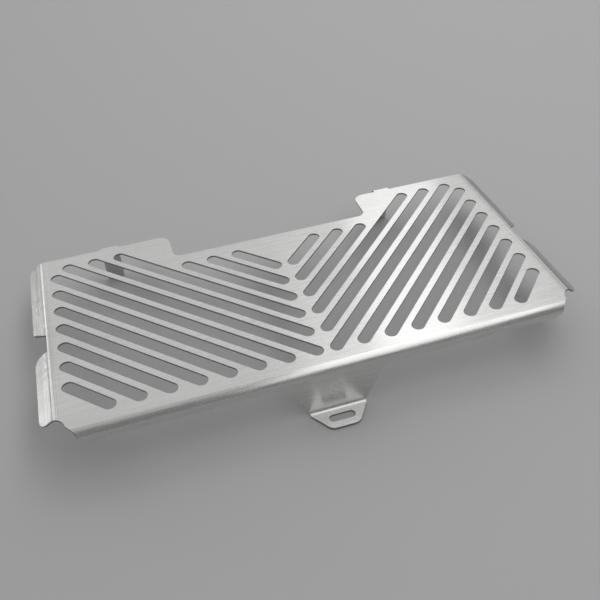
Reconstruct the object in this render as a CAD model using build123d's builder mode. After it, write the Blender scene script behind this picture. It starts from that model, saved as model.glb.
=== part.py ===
from build123d import *
import os
from math import radians, sqrt, tan

# Motorcycle radiator guard: one laser-cut stainless sheet with a V grille, folded on six lines.
# Millimetres. The origin is the middle of the fastening slot, on the underside of the tab.
# +Z is up and square to the panel, and the front of the guard, with its bracket, faces -Y.

# Sheet and folds. Each fold radius is the inside one.
sheet = 1.5
front_bend = 5.0
tab_bend = 2.5
hook_bend = 2.5
side_bend = 10.5
side_angle = 35.0

# Panel. Depths run back from the outer face of the front flange.
panel_depth = 198.2
fold_width = 389.0
side_lip = 13.0
notch_width = 171.5
notch_depth = 31.4
notch_corner = 8.5
notch_root = 6.5

# Gap in each side lip, and the relief at each front corner, where the sheet steps in
gap_depth = 87.1
gap_length = 17.9
gap_root = 1.0
relief_depth = 18.0
relief_radius = 10.0
strip_inset = 7.3
lip_corner = 8.0
gap_corner = 3.0

# Grille: slots at 45 degrees in a V, the same margin inside the far edge and inside the notch
slot_width = 10.0
slot_pitch = 15.0
shortest_slot = 25.0
centre_bar = 5.0
side_margin = 8.3
grille_shift = -1.0
vee_depth = 118.0
front_margin = 14.4
edge_margin = 10.2

# Front flange, its slanted ends, and the bracket below its middle
flange_depth = 10.0
flange_taper = 12.4
flange_tip = 4.5
end_setback = 8.9
end_taper = 6.9
bracket_width = 72.6
bracket_fillet = 9.0
bracket_drop = 42.7

# Tab and its fastening slot
tab_width = 43.0
tab_tip_width = 21.2
tab_reach = 18.4
tab_corner = 7.0
fixing_slot_width = 6.6
fixing_slot_length = 20.0
fixing_setback = 9.3

# Hooks over the far edge
hook_width = 14.5
hook_reach = 5.75
hook_depth = 35.0
hook_corner = 3.0
left_hook = -136.5
right_hook = 113.9

# Places that follow from the sizes
z_tab = sheet
z_top = z_tab + bracket_drop
z_flange = z_top - flange_depth
y_front = fixing_setback
y_tip = y_front - tab_reach
front_outside = front_bend + sheet
strip_width = fold_width - 2 * strip_inset
y_panel = y_front + front_outside
y_far = y_front + panel_depth
y_notch = y_far - notch_depth
y_relief = y_front + relief_depth
y_gap = y_front + gap_depth
y_gap_far = y_gap + gap_length
y_apex = y_front + vee_depth
side_outside = side_bend + sheet
y_slant = y_front + 1.5 * end_setback
fold_setback = side_outside * tan(radians(side_angle / 2))
lip_flat = side_lip - fold_setback
beyond = fold_width / 2 + side_lip
row_step = slot_pitch * sqrt(2)
x_inner = centre_bar / 2 + slot_width / 2
x_outer = fold_width / 2 - side_margin - slot_width / 2
y_fore = y_front + front_margin + slot_width / 2
y_under_notch = y_notch - edge_margin - slot_width / 2
y_shoulder = y_far - edge_margin - slot_width / 2
rows = 1 + int((x_outer - y_fore + y_apex - shortest_slot / sqrt(2)) / row_step)
notch_row = (notch_width / 2 - y_notch + y_apex) / sqrt(2) + edge_margin + slot_width / 2

with BuildPart() as guard:
    # Side view of the sheet from the front fold to the tip of the tab, drawn on its outer face
    with BuildSketch(Plane.YZ):
        with BuildLine():
            fold = JernArc((y_panel, z_top), (-1, 0), front_outside, 90)
            FilletPolyline(fold @ 1, (y_front, z_tab), (y_tip, z_tab), radius=[tab_bend])
            offset(amount=sheet, side=Side.LEFT)
        make_face()
    extrude(amount=strip_width / 2, both=True)

    # Front view: the flange with its slanted ends, and the bracket that tapers down from it to the tab
    with BuildSketch(Plane.XZ):
        with BuildLine():
            FilletPolyline(
                (0, z_top),
                (strip_width / 2, z_top),
                (strip_width / 2 - flange_taper, z_flange),
                (bracket_width / 2, z_flange),
                (tab_width / 2, z_tab),
                (tab_width / 2, 0),
                (0, 0),
                radius=[0, flange_tip, bracket_fillet, 0, 0],
            )
            mirror(about=Plane.YZ)
        make_face()
    extrude(amount=beyond, both=True, mode=Mode.INTERSECT)

    # Panel with its two side lips, from the front fold to the far edge
    with BuildSketch(Plane.XZ.offset(-y_far)):
        with BuildLine():
            flat = Line((0, z_top), (fold_width / 2 - fold_setback, z_top))
            bend = JernArc(flat @ 1, flat % 1, side_outside, -side_angle)
            PolarLine(bend @ 1, lip_flat, direction=bend % 1)
            mirror(about=Plane.YZ)
            offset(amount=sheet, side=Side.RIGHT)
        make_face()
    extrude(amount=y_far - y_panel)

    # Plan view: far notch, side lips with their gap, front corner relief, and tapered tab
    with BuildSketch(Plane.XY):
        with BuildLine():
            FilletPolyline(
                (0, y_notch),
                (notch_width / 2, y_notch),
                (notch_width / 2, y_far),
                (beyond, y_far),
                (beyond, y_gap_far + beyond - fold_width / 2),
                (fold_width / 2, y_gap_far),
                (fold_width / 2, y_gap),
                (beyond, y_gap),
                (beyond, y_relief),
                (strip_width / 2, y_relief),
                (strip_width / 2, y_front),
                (bracket_width / 2, y_front),
                (tab_width / 2, y_front - tab_bend),
                (tab_tip_width / 2, y_tip),
                (0, y_tip),
                radius=[
                    notch_root, notch_corner, 0,
                    0, gap_root, gap_root, 0,
                    0, relief_radius, 0,
                    0, 0, tab_corner,
                ],
            )
            mirror(about=Plane.YZ)
        make_face()
    extrude(amount=z_top, mode=Mode.INTERSECT)

    # Slanted corners, where the panel runs in to the ends of the flange
    with BuildSketch(Plane.XY):
        with BuildLine():
            Polyline(
                (strip_width / 2 - end_taper, y_front),
                (strip_width / 2 + end_taper / 2, y_slant),
                (beyond, y_slant),
                (beyond, y_front),
                close=True,
            )
        make_face()
        mirror(about=Plane.YZ)
    extrude(amount=z_top, mode=Mode.SUBTRACT)

    # Hooks, each a strip folded down just past the far edge
    for x_hook in (left_hook, right_hook):
        with BuildSketch(Plane.YZ.offset(x_hook)):
            with BuildLine():
                FilletPolyline(
                    (y_far, z_top),
                    (y_far + hook_reach, z_top),
                    (y_far + hook_reach, z_top - hook_depth),
                    radius=[hook_bend + sheet],
                )
                offset(amount=sheet, side=Side.RIGHT)
            make_face()
        extrude(amount=hook_width / 2, both=True)
    hook_ends = guard.faces().filter_by(Axis.Z).group_by(Axis.Y)[-1].edges()
    fillet(hook_ends.filter_by(Axis.Y), hook_corner)

    # Grille: each row is a slot on either side, from the centre bar or the front margin
    # out to the notch, the far edge or the side
    with BuildSketch(Plane.XY.offset(z_top)):
        for row in range(rows):
            across = row * row_step
            y_end = y_shoulder if row * slot_pitch > notch_row else y_under_notch
            x_near = max(x_inner, y_fore - y_apex + across)
            x_far = min(x_outer, y_end - y_apex + across)
            x_mid = (x_near + x_far) / 2
            y_mid = x_mid - across + y_apex
            span = (x_far - x_near) * sqrt(2)
            with Locations((grille_shift + x_mid, y_mid)):
                SlotCenterToCenter(span, slot_width, rotation=45)
            with Locations((grille_shift - x_mid, y_mid)):
                SlotCenterToCenter(span, slot_width, rotation=-45)
    extrude(amount=-sheet, mode=Mode.SUBTRACT)

    # Rounded corners at both ends of every side lip
    for way in (-1, 1):
        outward = Axis((0, 0, 0), (way, 0, -tan(radians(side_angle))))
        far_rim = guard.faces().filter_by(outward).sort_by(Axis.Y)[-1].edges().sort_by(Axis.Y)
        fillet(far_rim[0], gap_corner)
        rims = guard.faces().filter_by(outward).sort_by(Axis.Y)
        near_rim = rims[0].edges().sort_by(Axis.Y)
        far_rim = rims[-1].edges().sort_by(Axis.Y)
        fillet([near_rim[0], near_rim[-1], far_rim[-1]], min(lip_corner, 0.9 * lip_flat))

    # Fastening slot in the tab
    with BuildSketch(Plane.XY):
        SlotOverall(fixing_slot_length, fixing_slot_width)
    extrude(amount=sheet, mode=Mode.SUBTRACT)

guard.part.label = "radiator_guard"
os.makedirs("parts", exist_ok=True)
export_step(guard.part, "parts/radiator_guard.step")
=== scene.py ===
from math import radians

import bmesh
import bpy
import numpy as np
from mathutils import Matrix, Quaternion, Vector


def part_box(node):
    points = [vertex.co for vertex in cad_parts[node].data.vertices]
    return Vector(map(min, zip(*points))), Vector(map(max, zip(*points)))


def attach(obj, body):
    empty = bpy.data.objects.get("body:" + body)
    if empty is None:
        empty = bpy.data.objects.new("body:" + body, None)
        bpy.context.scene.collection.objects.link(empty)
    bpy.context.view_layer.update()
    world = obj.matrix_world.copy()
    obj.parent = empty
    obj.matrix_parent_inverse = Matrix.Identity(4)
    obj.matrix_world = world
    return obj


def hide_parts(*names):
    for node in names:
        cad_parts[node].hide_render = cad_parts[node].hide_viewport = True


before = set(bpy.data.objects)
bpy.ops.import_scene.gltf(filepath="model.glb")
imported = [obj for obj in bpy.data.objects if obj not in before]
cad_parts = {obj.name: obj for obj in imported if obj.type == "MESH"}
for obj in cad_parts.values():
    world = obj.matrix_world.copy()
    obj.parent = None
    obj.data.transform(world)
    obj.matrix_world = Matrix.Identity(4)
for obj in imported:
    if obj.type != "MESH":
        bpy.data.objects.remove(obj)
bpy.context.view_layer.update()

# The sheet: one piece of stainless steel, cut flat by laser with its grille, then folded on a press.
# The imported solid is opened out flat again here, its folds are divided finely and its cut edges broken
# by a hair, and it is folded back, so that what lies on the flat sheet follows every fold.
guard = "radiator_guard"
sheet = 0.0015
far_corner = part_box(guard)[1]
panel_top = far_corner.z
quarter = radians(90)

front_face = 0.0093
front_inside = 0.005
panel_start = front_face + front_inside + sheet

tab_inside = 0.0025
tab_start = (front_inside + sheet / 2) * quarter + panel_top - front_inside - tab_inside - 2 * sheet

hook_inside = 0.0025
hook_start = far_corner.y - hook_inside - sheet

side_inside = 0.0105
side_angle = radians(35)
side_corner = 0.1945
side_start = side_corner - (side_inside + sheet) * np.tan(side_angle / 2)


def opened(along, height, inside, angle):
    """A strip's place along and over the flat sheet, from its place on the folded one.

    The fold's axis lies inside + sheet under the outer face, where along is 0. The turn about it is
    held between 0 and the fold's angle. What runs straight on is turned back, and the turned part is
    laid out at the length of the middle of the sheet.
    """
    rise = height + inside + sheet
    turn = np.clip(np.arctan2(along, rise), 0, angle)
    straight = along * np.cos(turn) - rise * np.sin(turn)
    radius = along * np.sin(turn) + rise * np.cos(turn)
    return straight + turn * (inside + sheet / 2), radius - inside - sheet


def closed(along, height, inside, angle):
    """The same strip folded: the turn is the length along the middle of the sheet over its radius,
    held between 0 and the fold's angle, and the rest runs straight on from there."""
    turn = np.clip(along / (inside + sheet / 2), 0, angle)
    straight = along - turn * (inside + sheet / 2)
    radius = height + inside + sheet
    along = radius * np.sin(turn) + straight * np.cos(turn)
    return along, radius * np.cos(turn) - straight * np.sin(turn) - inside - sheet


def open_sheet(places):
    """Folded places (n, 3) to flat ones: sides, hooks and front fold are opened, then the tab's fold,
    which goes the other way, so its heights count from the under face."""
    x, y, height = places[:, 0], places[:, 1], places[:, 2] - panel_top
    side, height = opened(np.abs(x) - side_start, height, side_inside, side_angle)
    hook, height = opened(y - hook_start, height, hook_inside, quarter)
    fore, height = opened(panel_start - hook - hook_start, height, front_inside, quarter)
    tab, under = opened(fore - tab_start, -sheet - height, tab_inside, quarter)
    flat_x = np.sign(x) * (side + side_start)
    return np.stack([flat_x, panel_start - tab - tab_start, -sheet - under], axis=1)


def fold_sheet(flat):
    """Flat places (n, 3) to folded ones: open_sheet's folds in the other order."""
    x, y, height = flat[:, 0], flat[:, 1], flat[:, 2]
    tab, under = closed(panel_start - y - tab_start, -sheet - height, tab_inside, quarter)
    fore, height = closed(tab + tab_start, -sheet - under, front_inside, quarter)
    hook, height = closed(panel_start - fore - hook_start, height, hook_inside, quarter)
    side, height = closed(np.abs(x) - side_start, height, side_inside, side_angle)
    return np.stack([np.sign(x) * (side + side_start), hook + hook_start, height + panel_top], axis=1)


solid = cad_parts[guard].data
folded_places = np.empty(len(solid.vertices) * 3)
solid.vertices.foreach_get("co", folded_places)
triangles = np.empty(len(solid.polygons) * 3, dtype=int)
solid.loops.foreach_get("vertex_index", triangles)
sheet_mesh = bpy.data.meshes.new("stainless_sheet")
sheet_mesh.from_pydata(open_sheet(folded_places.reshape(-1, 3)), [], triangles.reshape(-1, 3))

weld = 3e-6
level = radians(0.5)
cut_corner = radians(50)
edge_break = 0.00014
break_steps = 2
round_profile = 0.5
blank = bmesh.new()
blank.from_mesh(sheet_mesh)
bmesh.ops.remove_doubles(blank, verts=blank.verts, dist=weld)
bmesh.ops.dissolve_limit(blank, angle_limit=level, verts=blank.verts, edges=blank.edges)
sharp = [edge for edge in blank.edges if edge.calc_face_angle(0) > cut_corner]
bmesh.ops.bevel(
    blank,
    geom=sharp,
    offset=edge_break,
    segments=break_steps,
    profile=round_profile,
    affect="EDGES",
    clamp_overlap=True,
)

fold_steps = 12
on_the_line = 1e-7
fold_lines = [
    (Vector((0, -1, 0)), -panel_start, front_inside, quarter),
    (Vector((0, -1, 0)), -panel_start + tab_start, tab_inside, quarter),
    (Vector((0, 1, 0)), hook_start, hook_inside, quarter),
    (Vector((1, 0, 0)), side_start, side_inside, side_angle),
    (Vector((-1, 0, 0)), side_start, side_inside, side_angle),
]
for way, start, inside, angle in fold_lines:
    for step in range(fold_steps + 1):
        reach = start + step / fold_steps * angle * (inside + sheet / 2)
        everything = [*blank.verts, *blank.edges, *blank.faces]
        bmesh.ops.bisect_plane(blank, geom=everything, plane_co=way * reach, plane_no=way, dist=on_the_line)
blank.to_mesh(sheet_mesh)
blank.free()

guard_sheet = bpy.data.objects.new("guard_sheet", sheet_mesh)
bpy.context.scene.collection.objects.link(guard_sheet)
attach(guard_sheet, "root")
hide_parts(guard)

# The sheet's flat places, kept as an attribute and a map for its finish, and its normals: square to the
# faces up to the broken edges and carried over the folds with the places, and on a cut wall, which the
# folds can lean, the mean of the wall's own faces.
count = len(sheet_mesh.vertices)
flat = np.empty(count * 3)
sheet_mesh.vertices.foreach_get("co", flat)
flat = flat.reshape(-1, 3)
normals = np.empty(count * 3)
sheet_mesh.vertex_normals.foreach_get("vector", normals)
normals = normals.reshape(-1, 3)
hair = edge_break / 20
depth = -flat[:, 2]
normals[depth < hair] = (0, 0, 1)
normals[depth > sheet - hair] = (0, 0, -1)

folded = fold_sheet(flat)
nudge = 1e-6
folded_normals = fold_sheet(flat + nudge * normals) - folded
folded_normals /= np.linalg.norm(folded_normals, axis=1, keepdims=True)

# A face is a cut wall if it stands upright on the flat sheet, or drops by more than a broken edge does.
upright_slope = 0.3
wall_drop = 1.5 * edge_break
face_count = len(sheet_mesh.polygons)
corners = np.empty(len(sheet_mesh.loops), dtype=int)
sheet_mesh.loops.foreach_get("vertex_index", corners)
first_corner = np.empty(face_count, dtype=int)
sheet_mesh.polygons.foreach_get("loop_start", first_corner)
face_normals = np.empty(face_count * 3)
sheet_mesh.polygons.foreach_get("normal", face_normals)
upright = np.abs(face_normals[2::3]) < upright_slope
corner_depth = depth[corners]
drop = np.maximum.reduceat(corner_depth, first_corner) - np.minimum.reduceat(corner_depth, first_corner)
is_wall = upright | (drop > wall_drop)

# With the sheet folded, each corner of a wall takes the mean of its walls' normals, weighted by their areas.
sheet_mesh.vertices.foreach_set("co", folded.ravel())
sheet_mesh.update()
sheet_mesh.polygons.foreach_get("normal", face_normals)
face_areas = np.empty(face_count)
sheet_mesh.polygons.foreach_get("area", face_areas)
wall_weight = np.where(is_wall, face_areas, 0)
corner_face = np.repeat(np.arange(face_count), np.diff(first_corner, append=len(corners)))
wall_normals = np.zeros((count, 3))
np.add.at(wall_normals, corners, (face_normals.reshape(-1, 3) * wall_weight[:, None])[corner_face])
wall_length = np.linalg.norm(wall_normals, axis=1)
on_wall = wall_length > 0
folded_normals[on_wall] = wall_normals[on_wall] / wall_length[on_wall, None]

flat_place = sheet_mesh.attributes.new("flat_place", "FLOAT_VECTOR", "POINT")
flat_place.data.foreach_set("vector", flat.ravel())
flat_map = sheet_mesh.uv_layers.new(name="flat_sheet")
flat_map.uv.foreach_set("vector", flat[corners, :2].ravel())
sheet_mesh.polygons.foreach_set("use_smooth", np.ones(face_count, dtype=bool))
sheet_mesh.polygons.foreach_set("material_index", is_wall.astype(int))
sheet_mesh.normals_split_custom_set_from_vertices(folded_normals)
sheet_mesh.update()

# Its finish: bright stainless, brushed along the guard's width while it was still flat, so the grain is
# drawn on the flat places. The press that folded the sides has left lengthwise marks on the lips, which
# begin at the shoulder of the die, just inside each side fold.
noise_detail = 3.0
noise_roughness = 0.6
streaks = bpy.data.node_groups.new("streaks", "ShaderNodeTree")
streaks.interface.new_socket("Place", in_out="INPUT", socket_type="NodeSocketVector")
streaks.interface.new_socket("Scale", in_out="INPUT", socket_type="NodeSocketVector")
streaks.interface.new_socket("Streak", in_out="OUTPUT", socket_type="NodeSocketFloat")
group_in = streaks.nodes.new("NodeGroupInput")
group_out = streaks.nodes.new("NodeGroupOutput")
stretched = streaks.nodes.new("ShaderNodeVectorMath")
stretched.operation = "MULTIPLY"
grain_noise = streaks.nodes.new("ShaderNodeTexNoise")
grain_noise.inputs["Scale"].default_value = 1.0
grain_noise.inputs["Detail"].default_value = noise_detail
grain_noise.inputs["Roughness"].default_value = noise_roughness
streaks.links.new(group_in.outputs["Place"], stretched.inputs[0])
streaks.links.new(group_in.outputs["Scale"], stretched.inputs[1])
streaks.links.new(stretched.outputs["Vector"], grain_noise.inputs["Vector"])
streaks.links.new(grain_noise.outputs["Fac"], group_out.inputs["Streak"])


def node(material, kind, **values):
    """A new node in a material, with its own settings or input values."""
    made = material.node_tree.nodes.new(kind)
    for name, value in values.items():
        if name in made.inputs:
            made.inputs[name].default_value = value
        else:
            setattr(made, name, value)
    return made


def streak(material, place, scale):
    """A streak pattern on flat places: noise of the place times scale, the streaks per metre each way."""
    pattern = node(material, "ShaderNodeGroup", node_tree=streaks)
    pattern.inputs["Scale"].default_value = scale
    material.node_tree.links.new(place.outputs["Vector"], pattern.inputs["Place"])
    return pattern.outputs["Streak"]


def ranged(material, source, low, high):
    """A streak's value, which keeps to the middle of 0 to 1, spread evenly from low to high."""
    spread = node(material, "ShaderNodeMapRange")
    spread.inputs["From Min"].default_value = 0.3
    spread.inputs["From Max"].default_value = 0.7
    spread.inputs["To Min"].default_value = low
    spread.inputs["To Max"].default_value = high
    material.node_tree.links.new(source, spread.inputs["Value"])
    return spread.outputs["Result"]


def blended(material, share, dark, light):
    """A colour from dark to light by a share of 0 to 1, mixed evenly.

    Sockets 6 and 7 of a Mix node are its two colours, and its output 2 is the mixed one.
    """
    mix = node(material, "ShaderNodeMix", data_type="RGBA", blend_type="MIX")
    mix.inputs[6].default_value = dark
    mix.inputs[7].default_value = light
    material.node_tree.links.new(share, mix.inputs[0])
    return mix.outputs[2]


brushing = 0.9
across_grain = 0.25
fine_scale = (55, 1300, 400)
broad_scale = (9, 260, 60)
cloud_scale = (14, 18, 10)
mark_scale = (900, 7, 60)
steel_dark = (0.60, 0.60, 0.595, 1)
steel_light = (0.76, 0.76, 0.75, 1)
fine_share = 0.7
broad_share = 0.3
grain_smooth = 0.20
grain_dull = 0.28
cloud_smooth = -0.02
cloud_dull = 0.04
grain_strength = 0.25
grain_height = 0.00002
die_shoulder = 0.004
mark_dark = -0.22
mark_light = 0.14

brushed = bpy.data.materials.new("brushed_stainless")
brushed.use_nodes = True
wire = brushed.node_tree.links
steel = brushed.node_tree.nodes["Principled BSDF"]
steel.inputs["Metallic"].default_value = 1.0
steel.inputs["Anisotropic"].default_value = brushing
steel.inputs["Anisotropic Rotation"].default_value = across_grain
grain_way = node(brushed, "ShaderNodeTangent", direction_type="UV_MAP", uv_map="flat_sheet")
wire.new(grain_way.outputs["Tangent"], steel.inputs["Tangent"])
place = node(brushed, "ShaderNodeAttribute", attribute_name="flat_place")
fine = streak(brushed, place, fine_scale)
broad = streak(brushed, place, broad_scale)
cloud = streak(brushed, place, cloud_scale)
marks = streak(brushed, place, mark_scale)

grain_sum = node(brushed, "ShaderNodeMath", operation="ADD")
wire.new(ranged(brushed, fine, 0.0, fine_share), grain_sum.inputs[0])
wire.new(ranged(brushed, broad, 0.0, broad_share), grain_sum.inputs[1])
tone = blended(brushed, grain_sum.outputs["Value"], steel_dark, steel_light)

flat_axes = node(brushed, "ShaderNodeSeparateXYZ")
wire.new(place.outputs["Vector"], flat_axes.inputs["Vector"])
sideways = node(brushed, "ShaderNodeMath", operation="ABSOLUTE")
wire.new(flat_axes.outputs["X"], sideways.inputs["Value"])
pressed = node(brushed, "ShaderNodeMapRange")
pressed.inputs["From Min"].default_value = side_start - die_shoulder
pressed.inputs["From Max"].default_value = side_start
wire.new(sideways.outputs["Value"], pressed.inputs["Value"])
dulled = node(brushed, "ShaderNodeMath", operation="MULTIPLY_ADD")
wire.new(pressed.outputs["Result"], dulled.inputs[0])
wire.new(ranged(brushed, marks, mark_dark, mark_light), dulled.inputs[1])
dulled.inputs[2].default_value = 1.0
marked_tone = node(brushed, "ShaderNodeVectorMath", operation="SCALE")
wire.new(tone, marked_tone.inputs[0])
wire.new(dulled.outputs["Value"], marked_tone.inputs["Scale"])
wire.new(marked_tone.outputs["Vector"], steel.inputs["Base Color"])

rough = node(brushed, "ShaderNodeMath", operation="ADD")
wire.new(ranged(brushed, fine, grain_smooth, grain_dull), rough.inputs[0])
wire.new(ranged(brushed, cloud, cloud_smooth, cloud_dull), rough.inputs[1])
wire.new(rough.outputs["Value"], steel.inputs["Roughness"])
bump = node(brushed, "ShaderNodeBump", Strength=grain_strength, Distance=grain_height)
wire.new(fine, bump.inputs["Height"])
wire.new(bump.outputs["Normal"], steel.inputs["Normal"])
sheet_mesh.materials.append(brushed)

# The cut walls of the slots and of the outline: the same steel where the laser went through it, greyer and
# duller than the brushed faces, with fine ridges that run through the thickness of the sheet.
ridge_scale = (4000, 4000, 300)
wall_dark = (0.24, 0.235, 0.23, 1)
wall_light = (0.42, 0.415, 0.41, 1)
wall_smooth = 0.38
wall_dull = 0.55
ridge_strength = 0.5
ridge_height = 0.00003
cut_wall = bpy.data.materials.new("laser_cut_wall")
cut_wall.use_nodes = True
wire = cut_wall.node_tree.links
steel = cut_wall.node_tree.nodes["Principled BSDF"]
steel.inputs["Metallic"].default_value = 1.0
place = node(cut_wall, "ShaderNodeAttribute", attribute_name="flat_place")
ridges = streak(cut_wall, place, ridge_scale)
tone = blended(cut_wall, ranged(cut_wall, ridges, 0.0, 1.0), wall_dark, wall_light)
wire.new(tone, steel.inputs["Base Color"])
wire.new(ranged(cut_wall, ridges, wall_smooth, wall_dull), steel.inputs["Roughness"])
bump = node(cut_wall, "ShaderNodeBump", Strength=ridge_strength, Distance=ridge_height)
wire.new(ridges, bump.inputs["Height"])
wire.new(bump.outputs["Normal"], steel.inputs["Normal"])
sheet_mesh.materials.append(cut_wall)

# The floor: a plain pale matt surface. The guard lies on its tab and its two hook tips, so the floor
# rises gently from the tab's fold, in front, to the hooks.
hook_tip = 0.0092
tab_rest = front_face - tab_inside
floor_rise = hook_tip / (far_corner.y - tab_rest)
floor_reach = 30.0
floor_grey = (0.58, 0.58, 0.58, 1)
floor_dull = 0.9
side_by_side = np.array([-floor_reach, floor_reach])
floor_x, floor_y = np.meshgrid(side_by_side, side_by_side)
floor_z = (floor_y - tab_rest) * floor_rise
floor_places = np.stack([floor_x, floor_y, floor_z], axis=-1).reshape(-1, 3)
floor_mesh = bpy.data.meshes.new("floor")
floor_mesh.from_pydata(floor_places, [], [(0, 1, 3, 2)])
floor = bpy.data.objects.new("floor", floor_mesh)
bpy.context.scene.collection.objects.link(floor)
pale = bpy.data.materials.new("pale_floor")
pale.use_nodes = True
matt = pale.node_tree.nodes["Principled BSDF"]
matt.inputs["Base Color"].default_value = floor_grey
matt.inputs["Roughness"].default_value = floor_dull
floor_mesh.materials.append(pale)

# The light: a wide soft box behind the guard, with a brighter leaning band in front of it, which the panel
# mirrors. Others hang straight above, over the front fold and low on the left, where the lips mirror them.
studio_grey = (0.22, 0.22, 0.22, 1)
world = bpy.data.worlds.new("studio")
world.use_nodes = True
world.node_tree.nodes["Background"].inputs["Color"].default_value = studio_grey
bpy.context.scene.world = world


def soft_box(name, place, aim, size, glow, lean=0.0):
    """A rectangular area light at place that faces aim, turned by lean degrees about that line.

    Its power is pi times its area times its glow, so glow is how bright the box itself looks.
    """
    lamp = bpy.data.lights.new(name, "AREA")
    lamp.shape = "RECTANGLE"
    lamp.size, lamp.size_y = size
    lamp.energy = np.pi * size[0] * size[1] * glow
    box = bpy.data.objects.new(name, lamp)
    box.location = place
    facing = (Vector(aim) - Vector(place)).to_track_quat("-Z", "Y")
    box.rotation_mode = "QUATERNION"
    box.rotation_quaternion = facing @ Quaternion((0, 0, 1), radians(lean))
    bpy.context.scene.collection.objects.link(box)


panel_middle = (0, 0.11, panel_top)
left_lips = (-0.2, 0.11, panel_top)
soft_box("back_box", (0.360, 2.150, 1.549), panel_middle, size=(5.76, 2.88), glow=0.54)
soft_box("band_box", (0.595, 1.093, 1.008), panel_middle, size=(0.25, 1.2), glow=0.58, lean=20)
soft_box("sky_box", (-0.1, 0.11, 1.6), (-0.1, 0.11, 0), size=(2.6, 1.6), glow=0.3)
soft_box("front_box", (0.58, -0.35, 1.4), (0.58, -0.35, 0), size=(0.78, 2.7), glow=0.92, lean=-4)
soft_box("left_low_box", (-2.123, 2.067, 0.598), left_lips, size=(0.24, 0.94), glow=4.1, lean=26)
soft_box("left_high_box", (-1.423, 2.272, 1.333), left_lips, size=(0.48, 0.34), glow=1.9, lean=15)

# The camera: placed, turned and zoomed as for the photograph, which measuring the grille in it gave.
# Nothing is out of focus.
camera_place = Vector((-0.11942, -0.33745, 0.42229))
camera_aim = Vector((-0.00329, 0.08602, panel_top))
camera_roll = radians(-3.34)
photo_lens = 44.916
film_width = 36
nearest = 0.01
lens = bpy.data.cameras.new("camera")
lens.lens = photo_lens
lens.sensor_width = film_width
lens.clip_start = nearest
camera = bpy.data.objects.new("camera", lens)
camera.location = camera_place
camera.rotation_mode = "QUATERNION"
camera_facing = (camera_aim - camera_place).to_track_quat("-Z", "Y")
camera.rotation_quaternion = camera_facing @ Quaternion((0, 0, 1), camera_roll)
bpy.context.scene.collection.objects.link(camera)
bpy.context.scene.camera = camera
bpy.context.scene.view_settings.view_transform = "Standard"
